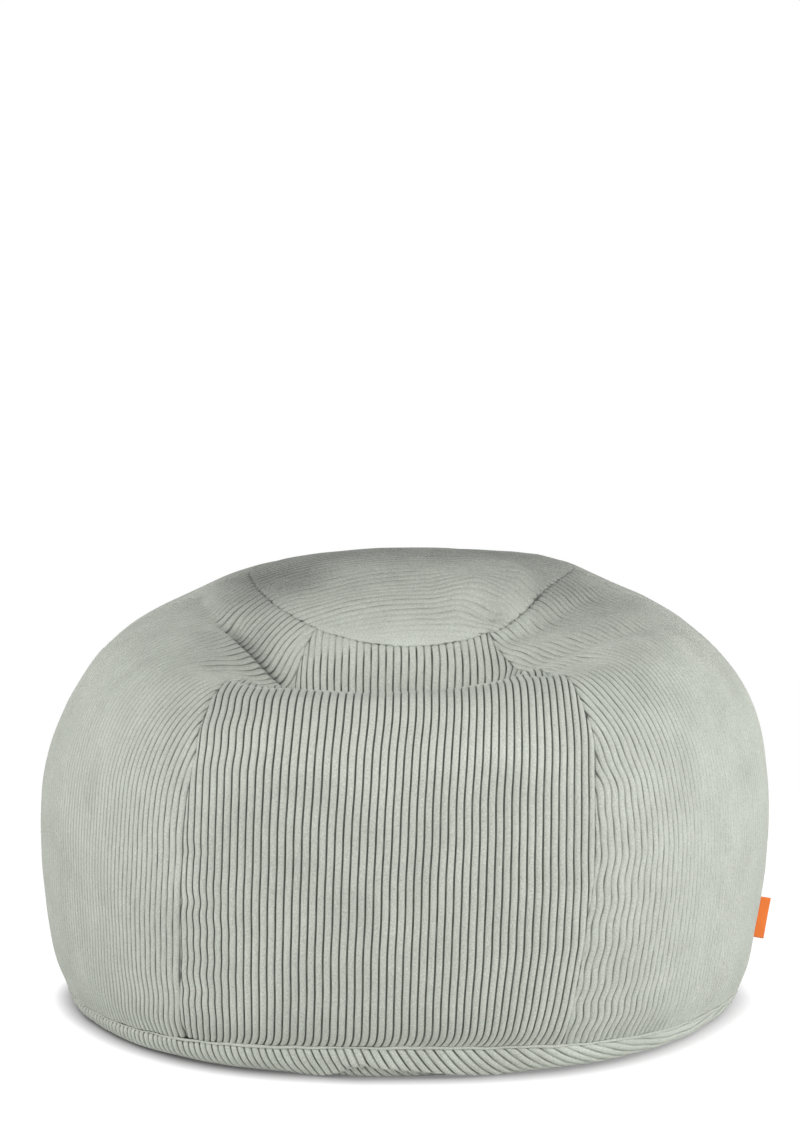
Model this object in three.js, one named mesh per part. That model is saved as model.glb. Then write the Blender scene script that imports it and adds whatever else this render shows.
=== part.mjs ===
import * as THREE from "three";

// A giant bean bag in jumbo cord, sagging under its own filling: six side panels, a six-sided top panel,
// a base panel turned up at its rim, and a blank loop label held in the right side seam.
// Each panel is its cloth with the filling behind it, down to the heart of the bag.
// Lengths are in millimetres and angles in degrees. Azimuth 0 is the front (-Y) and 90 the right (+X).

// Driving dimensions
const PANEL_COUNT = 6;
const PANEL_ANGLE = 360 / PANEL_COUNT;
const CROWN_HEIGHT = 620;
const CROWN_ROUNDNESS = 2.3;
const FLOOR_RADIUS = 438;
const FRONT_FLOOR_RADIUS = 421;
const HEART_HEIGHT = 150;
const BAG_OFFSET = new THREE.Vector2(-5.6, 12.1);

// Clear space between neighbouring pieces, and the steps that open it
const PIECE_GAP = 0.3;
const SIDE_STEP_OUT = 0.36;
const SIDE_STEP_UP = PIECE_GAP;
const TOP_STEP_UP = 0.5;

// Steps of the meshes
const COLUMNS_PER_PANEL = 14;
const ROWS_PER_RING = 3;
const TOP_ROWS = 9;
const RIM_ROWS = 4;

// Loop label: a folded ribbon standing out of the right seam
const LABEL_AZIMUTH = 90;
const LABEL_LENGTH = 58;
const LABEL_REACH = 20;
const LABEL_THICKNESS = 1.8;
const LABEL_LOW_RING = 1.28;
const LABEL_HIGH_RING = 2.25;

// Rings of the side, from the base seam to the top seam. The bag slumps towards the front, so each ring has
// a shape at the sides and back, and another at the front that fades over an azimuth. Flatness is the share of
// the radius that the middle of each panel is drawn in, so that the bag has six soft corners at its seams.
const RINGS = [
  { name: "base seam", radius: 467, height: 17, frontRadius: 466, frontHeight: 43, lean: -3, turn: 0, fade: 42,
    flatness: 0.012 },
  { name: "foot", radius: 482, height: 58, frontRadius: 496, frontHeight: 78, lean: -3, turn: 0, fade: 42,
    flatness: 0.016 },
  { name: "low side", radius: 491, height: 120, frontRadius: 514, frontHeight: 132, lean: -2, turn: 0, fade: 50,
    flatness: 0.02 },
  { name: "belly", radius: 498, height: 200, frontRadius: 524, frontHeight: 207, lean: 0, turn: 0, fade: 54,
    flatness: 0.022 },
  { name: "widest", radius: 500, height: 275, frontRadius: 525, frontHeight: 282, lean: 1, turn: 0, fade: 54,
    flatness: 0.022 },
  { name: "high side", radius: 492, height: 350, frontRadius: 518, frontHeight: 347, lean: 2, turn: -2, fade: 54,
    flatness: 0.022 },
  { name: "shoulder", radius: 474, height: 414, frontRadius: 501, frontHeight: 398, lean: 4, turn: -6, fade: 54,
    flatness: 0.022 },
  { name: "brow", radius: 443, height: 470, frontRadius: 470, frontHeight: 438, lean: 6, turn: -10, fade: 54,
    flatness: 0.018 },
  { name: "lip", radius: 399, height: 518, frontRadius: 421, frontHeight: 468, lean: 7, turn: -12, fade: 54,
    flatness: 0.01 },
  { name: "valley", radius: 343, height: 554, frontRadius: 353, frontHeight: 472, lean: 7, turn: -8, fade: 54,
    flatness: 0.004 },
  { name: "rise", radius: 287, height: 579, frontRadius: 283, frontHeight: 467, lean: 8, turn: -2, fade: 54,
    flatness: 0 },
  { name: "top seam", radius: 222, height: 601, frontRadius: 231, frontHeight: 512, lean: 10, turn: -1, fade: 54,
    flatness: 0 },
];
const TOP_RING = RINGS.length - 1;

// Folds of the side: each runs from one place to another, given as azimuth and ring. Reach is its half width,
// rise its height above the plain form, and fade the length over which it dies away past its ends. A fold is
// soft unless its edge says how sharp it is, with 1 the sharpest. A step lifts the cloth on the fold's right,
// looking along it, and lowers it on the left.
const SOFT_EDGE = 2;
const STEP_WIDTH = 2.5;
const SIDE_FOLDS = [
  { name: "front valley", from: [-37, 9.5], to: [16, 9.6], reach: 32, rise: -24, fade: 55 },
  { name: "front valley floor", from: [-33, 9.8], to: [12, 9.8], reach: 16, rise: -12, fade: 47, edge: 1.3 },
  { name: "front lip", from: [-30, 8.7], to: [28, 8.7], reach: 22, rise: -4, fade: 40 },
  { name: "left end of the lip", from: [-44, 8.8], to: [-27, 8.8], reach: 24, rise: -9, fade: 14 },
  { name: "right end of the lip", from: [27, 8.8], to: [38, 8.8], reach: 24, rise: -7, fade: 14 },
  { name: "left crease", from: [-34, 9.8], to: [-60, 9.9], reach: 34, rise: -5, fade: 20, step: -8 },
  { name: "end of the left crease", from: [-62, 10], to: [-90, 9.9], reach: 18, rise: -6, fade: 25 },
  { name: "left top", from: [-70, 10.4], to: [-115, 10.4], reach: 50, rise: 4, fade: 47 },
  { name: "left shoulder", from: [-75, 6.3], to: [-110, 6.3], reach: 95, rise: -9, fade: 36 },
  { name: "right shoulder", from: [75, 7.7], to: [110, 7.7], reach: 62, rise: -6, fade: 36 },
  { name: "left foot", from: [-70, 0.6], to: [-112, 0.6], reach: 70, rise: -3, fade: 44 },
  { name: "right ripple, first", from: [32, 10.7], to: [70, 10.3], reach: 15, rise: -5, fade: 39 },
  { name: "right ripple, second", from: [34, 10.2], to: [64, 9.5], reach: 18, rise: 6, fade: 31 },
  { name: "right ripple, third", from: [34, 9.6], to: [62, 8.9], reach: 18, rise: -7, fade: 29 },
  { name: "right ripple, fourth", from: [40, 9], to: [66, 8.3], reach: 22, rise: 3, fade: 27 },
  { name: "right side of the crown", from: [60, 10.8], to: [120, 10.8], reach: 60, rise: 8, fade: 62 },
];
const FOLD_RADIUS = 330;
const RING_LENGTH = 65;

// Folds of the top panel, from and to in plan, X and Y
const TOP_FOLDS = [
  { name: "right ridge", from: [58, -185], to: [82, -140], reach: 24, rise: 5.5, fade: 14 },
  { name: "right hollow", from: [82, -140], to: [118, -108], reach: 34, rise: -8, fade: 25 },
  { name: "right rise", from: [110, -150], to: [140, -100], reach: 55, rise: 24, fade: 36 },
  { name: "right valley", from: [98, -178], to: [150, -120], reach: 18, rise: -11, fade: 20 },
  { name: "left hollow", from: [-125, -128], to: [20, -133], reach: 24, rise: -6, fade: 25 },
  { name: "back ridge", from: [20, -133], to: [118, -108], reach: 24, rise: 2, fade: 20 },
  { name: "left slope", from: [-150, -120], to: [-170, 20], reach: 45, rise: 1, fade: 40 },
  { name: "corner dimple", from: [106, -184], to: [113, -176], reach: 11, rise: -14, fade: 7 },
  { name: "corner ridge", from: [120, -170], to: [150, -120], reach: 14, rise: 7, fade: 14 },
];
const TOP_FOLD_MARGIN = 0.12;

// How far each side of the six-sided top seam is drawn in between its corners
const TOP_SIDES = [
  { middle: 0, drawnIn: 0 },
  { middle: 60, drawnIn: 0.11 },
  { middle: 120, drawnIn: 0.05 },
  { middle: 180, drawnIn: 0.04 },
  { middle: -120, drawnIn: 0.05 },
  { middle: -60, drawnIn: 0.02 },
];
const DRAWN_IN_RINGS = 3;

// How far the two front seams wander from their even places, as ring and azimuth
const SEAM_WANDER = new Map([
  [-30, [
    [0, -5.5], [1, -3.9], [2, -2.5], [4, -1.4], [6, -1.3],
    [8, -4.4], [9.2, -8.8], [10, -3], [TOP_RING, -3],
  ]],
  [30, [
    [0, -5], [1, -5.4], [2, -5.1], [3, -4.6], [4, -3.6],
    [5, -3.5], [6, -2.3], [9.5, -0.6], [TOP_RING, -4],
  ]],
]);

const SIDE_PANELS = [
  { name: "side_panel_front", middle: 0 },
  { name: "side_panel_front_right", middle: 60 },
  { name: "side_panel_back_right", middle: 120 },
  { name: "side_panel_back", middle: 180 },
  { name: "side_panel_back_left", middle: 240 },
  { name: "side_panel_front_left", middle: 300 },
];

const radians = THREE.MathUtils.degToRad;

// The same azimuth between -180 and 180
function wrapped(azimuth) {
  return THREE.MathUtils.euclideanModulo(azimuth + 180, 360) - 180;
}

// A column of the rings' table at any place between rings, on a smooth curve through the rows
function ringValue(column, ring) {
  const row = Math.min(Math.floor(ring), TOP_RING - 1);
  const share = ring - row;
  const value = (i) => RINGS[i][column];
  const here = value(row);
  const next = value(row + 1);
  const before = row > 0 ? value(row - 1) : 2 * here - next;
  const after = row + 2 <= TOP_RING ? value(row + 2) : 2 * next - here;
  const linear = (next - before) * share;
  const square = (2 * before - 5 * here + 4 * next - after) * share ** 2;
  const cube = (3 * here - 3 * next + after - before) * share ** 3;
  return (2 * here + linear + square + cube) / 2;
}

// How much of the front's shape a place has, from 0 to 1
function frontShare(azimuth, ring) {
  const away = wrapped(azimuth - ringValue("turn", ring)) / ringValue("fade", ring);
  return 0.5 ** (away * away);
}

function slumped(sideColumn, frontColumn, azimuth, ring) {
  const share = frontShare(azimuth, ring);
  return THREE.MathUtils.lerp(ringValue(sideColumn, ring), ringValue(frontColumn, ring), share);
}

// Rise of a set of folds at a place x, y on their own sheet
function foldRise(folds, x, y, placeOf) {
  let rise = 0;
  for (const fold of folds) {
    const [startX, startY] = placeOf(fold.from);
    const [endX, endY] = placeOf(fold.to);
    const edge = fold.edge ?? SOFT_EDGE;
    const alongX = endX - startX;
    const alongY = endY - startY;
    const length = Math.hypot(alongX, alongY);
    const along = ((x - startX) * alongX + (y - startY) * alongY) / length ** 2;
    const across = ((x - startX) * alongY - (y - startY) * alongX) / length;
    const pastEnd = (Math.max(-along, along - 1, 0) * length) / fold.fade;
    const share = Math.exp(-(pastEnd ** 2) - Math.abs(across / fold.reach) ** edge);
    rise += share * (fold.rise + (fold.step ?? 0) * Math.tanh(across / STEP_WIDTH));
  }
  return rise;
}

const onSide = ([azimuth, ring]) => [radians(azimuth) * FOLD_RADIUS, ring * RING_LENGTH];
const inPlan = (place) => place;

// Share of the radius that the six-sided top seam takes away
function drawnIn(azimuth, ring) {
  const nearTop = THREE.MathUtils.clamp((ring - TOP_RING) / DRAWN_IN_RINGS + 1, 0, 1) ** 2;
  let share = 0;
  for (const side of TOP_SIDES) {
    const away = wrapped(azimuth - side.middle);
    if (Math.abs(away) < PANEL_ANGLE / 2) {
      share += side.drawnIn * Math.cos(radians(away * PANEL_COUNT / 2));
    }
  }
  return nearTop * share;
}

// Radius and height of the side at an azimuth and ring
function sideProfile(azimuth, ring) {
  const plainRadius = (at) => slumped("radius", "frontRadius", azimuth, at);
  const plainHeight = (at) => slumped("height", "frontHeight", azimuth, at);
  const step = 0.02;
  const above = Math.min(ring + step, TOP_RING);
  const below = Math.max(ring - step, 0);
  const outward = plainRadius(above) - plainRadius(below);
  const upward = plainHeight(above) - plainHeight(below);
  const length = Math.hypot(outward, upward);
  const rise = foldRise(SIDE_FOLDS, ...onSide([wrapped(azimuth), ring]), onSide);
  const flatness = ringValue("flatness", ring) * (1 + Math.cos(radians(azimuth * PANEL_COUNT)));
  const radius = plainRadius(ring) * (1 - drawnIn(azimuth, ring)) * (1 - flatness);
  return {
    radius: radius + (rise * upward) / length,
    height: plainHeight(ring) - (rise * outward) / length,
  };
}

function pointAt(azimuth, radius, height, lean) {
  const x = radius * Math.sin(radians(azimuth)) + lean + BAG_OFFSET.x;
  const y = -radius * Math.cos(radians(azimuth)) + BAG_OFFSET.y;
  return new THREE.Vector3(x, y, height);
}

function sidePoint(azimuth, ring) {
  const { radius, height } = sideProfile(azimuth, ring);
  return pointAt(azimuth, radius, height, ringValue("lean", ring));
}

// Azimuth of the seam that lies near an even azimuth, at a ring
function seamAzimuth(even, ring) {
  const rows = SEAM_WANDER.get(wrapped(even));
  if (!rows) {
    return even;
  }
  const next = Math.max(1, rows.findIndex(([at]) => at >= ring));
  const [lowRing, lowWander] = rows[next - 1];
  const [highRing, highWander] = rows[next];
  return even + THREE.MathUtils.mapLinear(ring, lowRing, highRing, lowWander, highWander);
}

// Azimuths of a panel's columns at a ring, from its left seam to its right one
function columnAzimuths(middle, ring) {
  const left = seamAzimuth(middle - PANEL_ANGLE / 2, ring);
  const right = seamAzimuth(middle + PANEL_ANGLE / 2, ring);
  return Array.from({ length: COLUMNS_PER_PANEL + 1 }, (_, i) =>
    THREE.MathUtils.lerp(left, right, i / COLUMNS_PER_PANEL));
}

// Azimuths right round a ring, without the last column of each panel, which the next panel starts with
function allAzimuths(ring) {
  return SIDE_PANELS.flatMap(({ middle }) => columnAzimuths(middle, ring).slice(0, -1));
}

// A point of the top panel, share 1 at its seam and 0 at the crown
function topPoint(azimuth, share) {
  const seam = sideProfile(azimuth, TOP_RING);
  const plain = seam.height + (CROWN_HEIGHT - seam.height) * (1 - share ** CROWN_ROUNDNESS);
  const x = seam.radius * share * Math.sin(radians(azimuth));
  const y = -seam.radius * share * Math.cos(radians(azimuth));
  const inside = THREE.MathUtils.clamp((1 - share) / TOP_FOLD_MARGIN, 0, 1);
  const height = plain + inside * foldRise(TOP_FOLDS, x, y, inPlan);
  return pointAt(azimuth, seam.radius * share, height, ringValue("lean", TOP_RING));
}

// A point of the base panel's turned-up rim, share 1 at its seam and 0 where it meets the floor
function rimPoint(azimuth, share) {
  const seam = sideProfile(azimuth, 0);
  const turn = (share * Math.PI) / 2;
  const floorRadius = THREE.MathUtils.lerp(FLOOR_RADIUS, FRONT_FLOOR_RADIUS, frontShare(azimuth, 0));
  const radius = THREE.MathUtils.lerp(floorRadius, seam.radius, Math.sin(turn));
  const height = seam.height * (1 - Math.cos(turn));
  return pointAt(azimuth, radius, height, ringValue("lean", 0));
}

function solidFrom(points, triangles) {
  const geometry = new THREE.BufferGeometry();
  geometry.setAttribute("position", new THREE.Float32BufferAttribute(points.flatMap((p) => p.toArray()), 3));
  geometry.setIndex(triangles);
  geometry.computeVertexNormals();
  return geometry;
}

const heart = () => pointAt(0, 0, HEART_HEIGHT, 0);

// A side panel: its cloth face, closed by walls from each edge to the heart
function sidePanelGeometry(middle) {
  const rows = TOP_RING * ROWS_PER_RING;
  const columns = COLUMNS_PER_PANEL;
  const points = [];
  for (let i = 0; i <= rows; i++) {
    const ring = (i * TOP_RING) / rows;
    for (const azimuth of columnAzimuths(middle, ring)) {
      points.push(sidePoint(azimuth, ring));
    }
  }
  const at = (i, j) => i * (columns + 1) + j;
  const apex = points.push(heart()) - 1;
  const triangles = [];
  for (let i = 0; i < rows; i++) {
    for (let j = 0; j < columns; j++) {
      triangles.push(at(i, j), at(i, j + 1), at(i + 1, j + 1));
      triangles.push(at(i, j), at(i + 1, j + 1), at(i + 1, j));
    }
    triangles.push(at(i, 0), at(i + 1, 0), apex);
    triangles.push(at(i + 1, columns), at(i, columns), apex);
  }
  for (let j = 0; j < columns; j++) {
    triangles.push(at(0, j + 1), at(0, j), apex);
    triangles.push(at(rows, j), at(rows, j + 1), apex);
  }
  return solidFrom(points, triangles);
}

// A round panel: rows of points from its seam to its middle point, closed by walls from its seam to the heart.
// Facing is 1 for a panel that faces up and -1 for one that faces down.
function roundPanelGeometry(pointRows, middlePoint, facing) {
  const count = pointRows[0].length;
  const points = pointRows.flat();
  const middle = points.push(middlePoint) - 1;
  const apex = points.push(heart()) - 1;
  const at = (i, j) => i * count + (j % count);
  const triangles = [];
  const face = (a, b, c) => triangles.push(...(facing > 0 ? [a, b, c] : [a, c, b]));
  for (let j = 0; j < count; j++) {
    face(at(0, j + 1), at(0, j), apex);
    for (let i = 0; i + 1 < pointRows.length; i++) {
      face(at(i, j), at(i, j + 1), at(i + 1, j + 1));
      face(at(i, j), at(i + 1, j + 1), at(i + 1, j));
    }
    face(at(pointRows.length - 1, j), at(pointRows.length - 1, j + 1), middle);
  }
  return solidFrom(points, triangles);
}

function topPanelGeometry() {
  const rows = [];
  for (let i = 0; i < TOP_ROWS; i++) {
    const share = 1 - i / TOP_ROWS;
    rows.push(allAzimuths(TOP_RING).map((azimuth) => topPoint(azimuth, share)));
  }
  return roundPanelGeometry(rows, topPoint(0, 0), 1);
}

function basePanelGeometry() {
  const rows = [];
  for (let i = 0; i <= RIM_ROWS; i++) {
    const share = 1 - i / RIM_ROWS;
    rows.push(allAzimuths(0).map((azimuth) => rimPoint(azimuth, share)));
  }
  return roundPanelGeometry(rows, pointAt(0, 0, 0, ringValue("lean", 0)), -1);
}

// The folded ribbon: two layers that meet, with a round fold at its outer edge
function labelGeometry() {
  const half = LABEL_THICKNESS / 2;
  const outline = new THREE.Shape();
  outline.moveTo(0, -half);
  outline.lineTo(LABEL_REACH - half, -half);
  outline.absarc(LABEL_REACH - half, 0, half, -Math.PI / 2, Math.PI / 2, false);
  outline.lineTo(0, half);
  outline.closePath();
  return new THREE.ExtrudeGeometry(outline, { depth: LABEL_LENGTH, bevelEnabled: false, curveSegments: 8 });
}

// Sets the label's inner edge along the right seam, clear of the cloth by the gap between pieces
function placeLabel(mesh) {
  const seamPoint = (ring) => sidePoint(LABEL_AZIMUTH, ring);
  const low = seamPoint(LABEL_LOW_RING);
  const high = seamPoint(LABEL_HIGH_RING);
  const along = high.clone().sub(low).normalize();
  const out = new THREE.Vector3(along.z, 0, -along.x);
  const samples = 12;
  let bulge = 0;
  for (let i = 0; i <= samples; i++) {
    const ring = THREE.MathUtils.lerp(LABEL_LOW_RING, LABEL_HIGH_RING, i / samples);
    bulge = Math.max(bulge, seamPoint(ring).sub(low).dot(out));
  }
  const middle = low.clone().lerp(high, 0.5);
  const start = middle.clone().addScaledVector(along, -LABEL_LENGTH / 2);
  mesh.position.copy(start.addScaledVector(out, bulge + SIDE_STEP_OUT + PIECE_GAP));
  mesh.position.z += SIDE_STEP_UP;
  const across = new THREE.Vector3().crossVectors(along, out);
  mesh.setRotationFromMatrix(new THREE.Matrix4().makeBasis(out, across, along));
}

function clothMaterial(name, colour) {
  return new THREE.MeshStandardMaterial({ name, color: colour, roughness: 0.95, metalness: 0 });
}

const cord = clothMaterial("jumbo_cord", 0xb2b6ad);
const ribbon = clothMaterial("woven_ribbon", 0xf5822a);
const beanBag = new THREE.Group();

for (const { name, middle } of SIDE_PANELS) {
  const panel = new THREE.Mesh(sidePanelGeometry(middle), cord.clone());
  panel.name = name;
  panel.position.x = SIDE_STEP_OUT * Math.sin(radians(middle));
  panel.position.y = -SIDE_STEP_OUT * Math.cos(radians(middle));
  panel.position.z = SIDE_STEP_UP;
  beanBag.add(panel);
}

const topPanel = new THREE.Mesh(topPanelGeometry(), cord.clone());
topPanel.name = "top_panel";
topPanel.position.z = TOP_STEP_UP;
beanBag.add(topPanel);

const basePanel = new THREE.Mesh(basePanelGeometry(), cord.clone());
basePanel.name = "base_panel";
beanBag.add(basePanel);

const label = new THREE.Mesh(labelGeometry(), ribbon);
label.name = "side_label";
placeLabel(label);
beanBag.add(label);

export default beanBag;
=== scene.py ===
"""A giant bean bag in jumbo cord, sagging under its own filling, on a pale studio floor.

Every panel is a sheet of real wales, laid out as it was cut and clipped at its seams. Lengths are in
millimetres until a mesh is made. Azimuth 0 is the front (-Y) and 90 the right (+X).
"""

import math
from collections import namedtuple

import bpy
import numpy as np
from mathutils import Euler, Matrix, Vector


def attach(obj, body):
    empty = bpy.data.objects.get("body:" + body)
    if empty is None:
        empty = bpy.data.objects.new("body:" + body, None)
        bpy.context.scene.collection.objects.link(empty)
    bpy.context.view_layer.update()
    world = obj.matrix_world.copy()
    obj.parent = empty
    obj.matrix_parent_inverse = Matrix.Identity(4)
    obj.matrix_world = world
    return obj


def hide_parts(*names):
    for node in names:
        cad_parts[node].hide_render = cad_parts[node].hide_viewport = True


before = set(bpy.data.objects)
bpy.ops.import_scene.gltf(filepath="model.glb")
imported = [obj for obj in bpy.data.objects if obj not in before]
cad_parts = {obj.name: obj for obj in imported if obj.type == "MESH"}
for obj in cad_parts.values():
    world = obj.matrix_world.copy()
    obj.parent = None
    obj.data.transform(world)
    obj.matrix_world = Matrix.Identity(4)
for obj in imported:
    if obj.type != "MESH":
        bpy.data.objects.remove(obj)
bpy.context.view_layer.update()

MM = 0.001
BAG_OFFSET = np.array([-5.6, 12.1, 0.0])

# The bag's form
PANEL_COUNT = 6
PANEL_ANGLE = 360 / PANEL_COUNT
CROWN_HEIGHT = 620
CROWN_ROUNDNESS = 2.3
FLOOR_RADIUS = 438
FRONT_FLOOR_RADIUS = 421

# The cloth: wales of pile with narrow grooves between them, drawn in along every seam
WALE_PITCH = 9.6
WALE_HEIGHT = 2.4
WALE_SINK = 1.3
GROOVE_SHARE = 0.2
GROOVE_UNEVENNESS = 0.2
WALE_SQUARENESS = 4.5
SEAM_SINK = 2.0
SEAM_WIDTH = 2.5
# Width of the painted shade along every seam
SEAM_SHADE_WIDTH = 1.7
HEM_DEPTH = 7.0
BASE_WALE_ANGLE = 55

# Small unevenness: wales that waver sideways, lumps over the filling, puckers, and kinks of painted shade
# by the seams
SIDE_WAVER = 0.7
TOP_WAVER = 1.2
LUMP_RISE = 1.0
LUMP_TURNS = np.array([
    [0.043, 0.024, -0.011, 0.05],
    [0.006, -0.037, 0.029, 0.047],
    [0.032, 0.019, 0.052, -0.04],
])
PUCKER_RISE = 1.2
PUCKER_REACH = 28
PUCKER_LENGTHS = np.array([7.1, 8.3, 9.2])
KINK_LENGTHS = np.array([2.3, 2.9, 3.7])
KINK_SHADE, KINK_UNEVENNESS = 0.6, 0.4

# Waves of that unevenness: length along the wales, length or turn across them, and start
SIDE_WAVES = [(21, 47, 0), (13, -80, 1), (34, 140, 0)]
TOP_WAVES = [(23, 60, 0), (37, -45, 2), (60, 90, 1)]
GROOVE_WAVES = [(11, 2.1), (7, -0.9), (23, 1)]

# The mesh: lines across a wale as shares of its pitch, rows along it, and rings where rows are finer
WALE_STEPS = (0, 0.1, 0.135, 0.21, 0.5, 0.79, 0.865, 0.9)
ROW_STEP = 6.0
END_ROWS = (0, 1.0, 2.2, 3.8, 6.0)
FINE_ROW_STEP = 2.5
FINE_ROWS = {0: (8.2, 9.9), -60: (9.3, 10.5), 60: (8.4, 10.8)}
NO_FINE_ROWS = (5, 5)
ROUND_END = 0.9995
SWAY_ROOM = 20
MEASURE_POINTS = 800
AZIMUTHS = np.arange(-180, 180, 1.0)

Ring = namedtuple("Ring", "name radius height front_radius front_height lean turn fade flatness")
RINGS = [
    Ring("base seam", 467, 17, 466, 43, -3, 0, 42, 0.012),
    Ring("foot", 482, 58, 496, 78, -3, 0, 42, 0.016),
    Ring("low side", 491, 120, 514, 132, -2, 0, 50, 0.02),
    Ring("belly", 498, 200, 524, 207, 0, 0, 54, 0.022),
    Ring("widest", 500, 275, 525, 282, 1, 0, 54, 0.022),
    Ring("high side", 492, 350, 518, 347, 2, -2, 54, 0.022),
    Ring("shoulder", 474, 414, 501, 398, 4, -6, 54, 0.022),
    Ring("brow", 443, 470, 470, 438, 6, -10, 54, 0.018),
    Ring("lip", 399, 518, 421, 468, 7, -12, 54, 0.01),
    Ring("valley", 343, 554, 353, 472, 7, -8, 54, 0.004),
    Ring("rise", 287, 579, 283, 467, 8, -2, 54, 0),
    Ring("top seam", 222, 601, 231, 512, 10, -1, 54, 0),
]
TOP_RING = len(RINGS) - 1
RING_TABLE = {
    column: np.array([getattr(ring, column) for ring in RINGS], float) for column in Ring._fields[1:]}

# Folds of the side, from and to as azimuth and ring, and of the top panel, from and to in plan
Fold = namedtuple("Fold", "name start end reach rise fade edge step", defaults=[2, 0])
SIDE_FOLDS = [
    Fold("front valley", (-37, 9.5), (16, 9.6), 32, -24, 55),
    Fold("front valley floor", (-33, 9.8), (12, 9.8), 16, -12, 47, 1.3),
    Fold("front lip", (-30, 8.7), (28, 8.7), 22, -4, 40),
    Fold("left end of the lip", (-44, 8.8), (-27, 8.8), 24, -9, 14),
    Fold("right end of the lip", (27, 8.8), (38, 8.8), 24, -7, 14),
    Fold("left crease", (-34, 9.8), (-60, 9.9), 34, -5, 20, 2, -8),
    Fold("end of the left crease", (-62, 10), (-90, 9.9), 18, -6, 25),
    Fold("left top", (-70, 10.4), (-115, 10.4), 50, 4, 47),
    Fold("left shoulder", (-75, 6.3), (-110, 6.3), 95, -9, 36),
    Fold("right shoulder", (75, 7.7), (110, 7.7), 62, -6, 36),
    Fold("left foot", (-70, 0.6), (-112, 0.6), 70, -3, 44),
    Fold("right ripple, first", (32, 10.7), (70, 10.3), 15, -5, 39),
    Fold("right ripple, second", (34, 10.2), (64, 9.5), 18, 6, 31),
    Fold("right ripple, third", (34, 9.6), (62, 8.9), 18, -7, 29),
    Fold("right ripple, fourth", (40, 9), (66, 8.3), 22, 3, 27),
    Fold("right side of the crown", (60, 10.8), (120, 10.8), 60, 8, 62),
]
FOLD_RADIUS = 330
RING_LENGTH = 65
TOP_FOLDS = [
    Fold("right ridge", (58, -185), (82, -140), 24, 5.5, 14),
    Fold("right hollow", (82, -140), (118, -108), 34, -8, 25),
    Fold("right rise", (110, -150), (140, -100), 55, 24, 36),
    Fold("right valley", (98, -178), (150, -120), 18, -11, 20),
    Fold("left hollow", (-125, -128), (20, -133), 24, -6, 25),
    Fold("back ridge", (20, -133), (118, -108), 24, 2, 20),
    Fold("left slope", (-150, -120), (-170, 20), 45, 1, 40),
    Fold("corner dimple", (106, -184), (113, -176), 11, -14, 7),
    Fold("corner ridge", (120, -170), (150, -120), 14, 7, 14),
]
TOP_FOLD_MARGIN = 0.12
FOLD_STEP_WIDTH = 2.5
TOP_WALE_ANGLE = 2

# Where wales run aside on a side panel, by its middle azimuth. Place is across from one of its seams or
# its middle, and run is up from the base seam. Length is that of a wave along the wales, or 0 for one bend
Sway = namedtuple("Sway", "name panel seam place run shift reach fade length edge", defaults=[2])
SWAYS = [
    Sway("front hooks, left", 0, "left", 110, 0, -8, 90, 13, 0, 1),
    Sway("front hooks, middle", 0, "middle", 40, 0, -8, 120, 13, 0, 1),
    Sway("front hooks, right", 0, "right", -60, 0, -6, 80, 15, 0, 1),
    Sway("left kink, upper", 0, "left", 10, 253, 2, 26, 9, 0),
    Sway("left kink, middle", 0, "left", 12, 190, 2.4, 34, 10, 0),
    Sway("left kink, lower", 0, "left", 10, 78, 1.8, 30, 10, 0),
    Sway("left waves, low", 0, "left", 30, 120, 0.8, 40, 100, 38),
    Sway("left waves by the lip", 0, "left", 40, 430, 1, 50, 90, 52),
    Sway("front leans right by the lip", 0, "middle", -40, 500, 9, 170, 230, 0),
    Sway("facet, right", 0, "right", -30, 640, 8, 80, 60, 0),
    Sway("right waves, upper", 60, "left", 20, 345, 3, 50, 45, 80),
    Sway("right waves, middle", 60, "left", 25, 200, 1.8, 70, 95, 56),
    Sway("right waves, low", 60, "left", 50, 45, 2.2, 90, 50, 50),
    Sway("left waves", -60, "right", -50, 60, 3, 80, 60, 90),
]

# Seams that wales follow low down: how far out from the seam, and from which run down to the base seam
Pull = namedtuple("Pull", "name panel seam share reach run")
PULLS = [
    Pull("front, by its right seam", 0, "right", 1, 110, 140),
    Pull("right, by its left seam", 60, "left", 0.9, 130, 300),
    Pull("left, by its right seam", -60, "right", 1, 260, 330),
]

# Tucks of the base panel's rim, from and to as azimuth and share of the rim
BASE_FOLDS = [
    Fold("tuck, left", (-16, 0.04), (-6.6, 0.62), 13, 0, 12, 2, -3),
    Fold("tuck, right", (-6.6, 0.62), (15, 0.2), 13, 0, 25, 2, -3),
]
RIM_LENGTH = 60
RIM_POINTS = 12

# Patches where the grooves are closed further, in the mesh and so in their painted shade; and patches of
# painted light and shade, where the nap is painted darker or lighter for how the light falls on it
Patch = namedtuple("Patch", "name middle reach amount")
CLOSED_PATCHES = [
    Patch("front facet", (0, -245, 490), (150, 62, 50), 0.14),
    Patch("right side", (330, -280, 250), (160, 220, 190), 0.1),
    Patch("right rim", (300, -340, 0), (200, 200, 45), 0.22),
    Patch("right crown", (225, -185, 530), (95, 80, 60), 0.16),
    Patch("right of the top", (110, -130, 590), (80, 80, 60), 0.14),
    Patch("top by the front seam, left", (-70, -195, 520), (75, 24, 45), 0.4),
    Patch("top by the front seam, middle", (40, -207, 520), (60, 14, 45), 0.25),
]
PAINTED_LIGHT_PATCHES = [
    Patch("whole top", (0, 0, 590), (245, 245, 60), -0.07),
    Patch("back of the top", (-10, 90, 600), (270, 190, 60), -0.5),
    Patch("left of the top", (-185, -50, 570), (75, 70, 45), -0.2),
    Patch("front by the lip", (0, -450, 440), (270, 80, 60), 0.11),
    Patch("front facet", (0, -245, 490), (150, 62, 50), 0.1),
    Patch("left shelf", (-235, -190, 505), (60, 90, 34), -0.18),
    Patch("right crown", (250, -100, 550), (80, 90, 40), -0.13),
]
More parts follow.
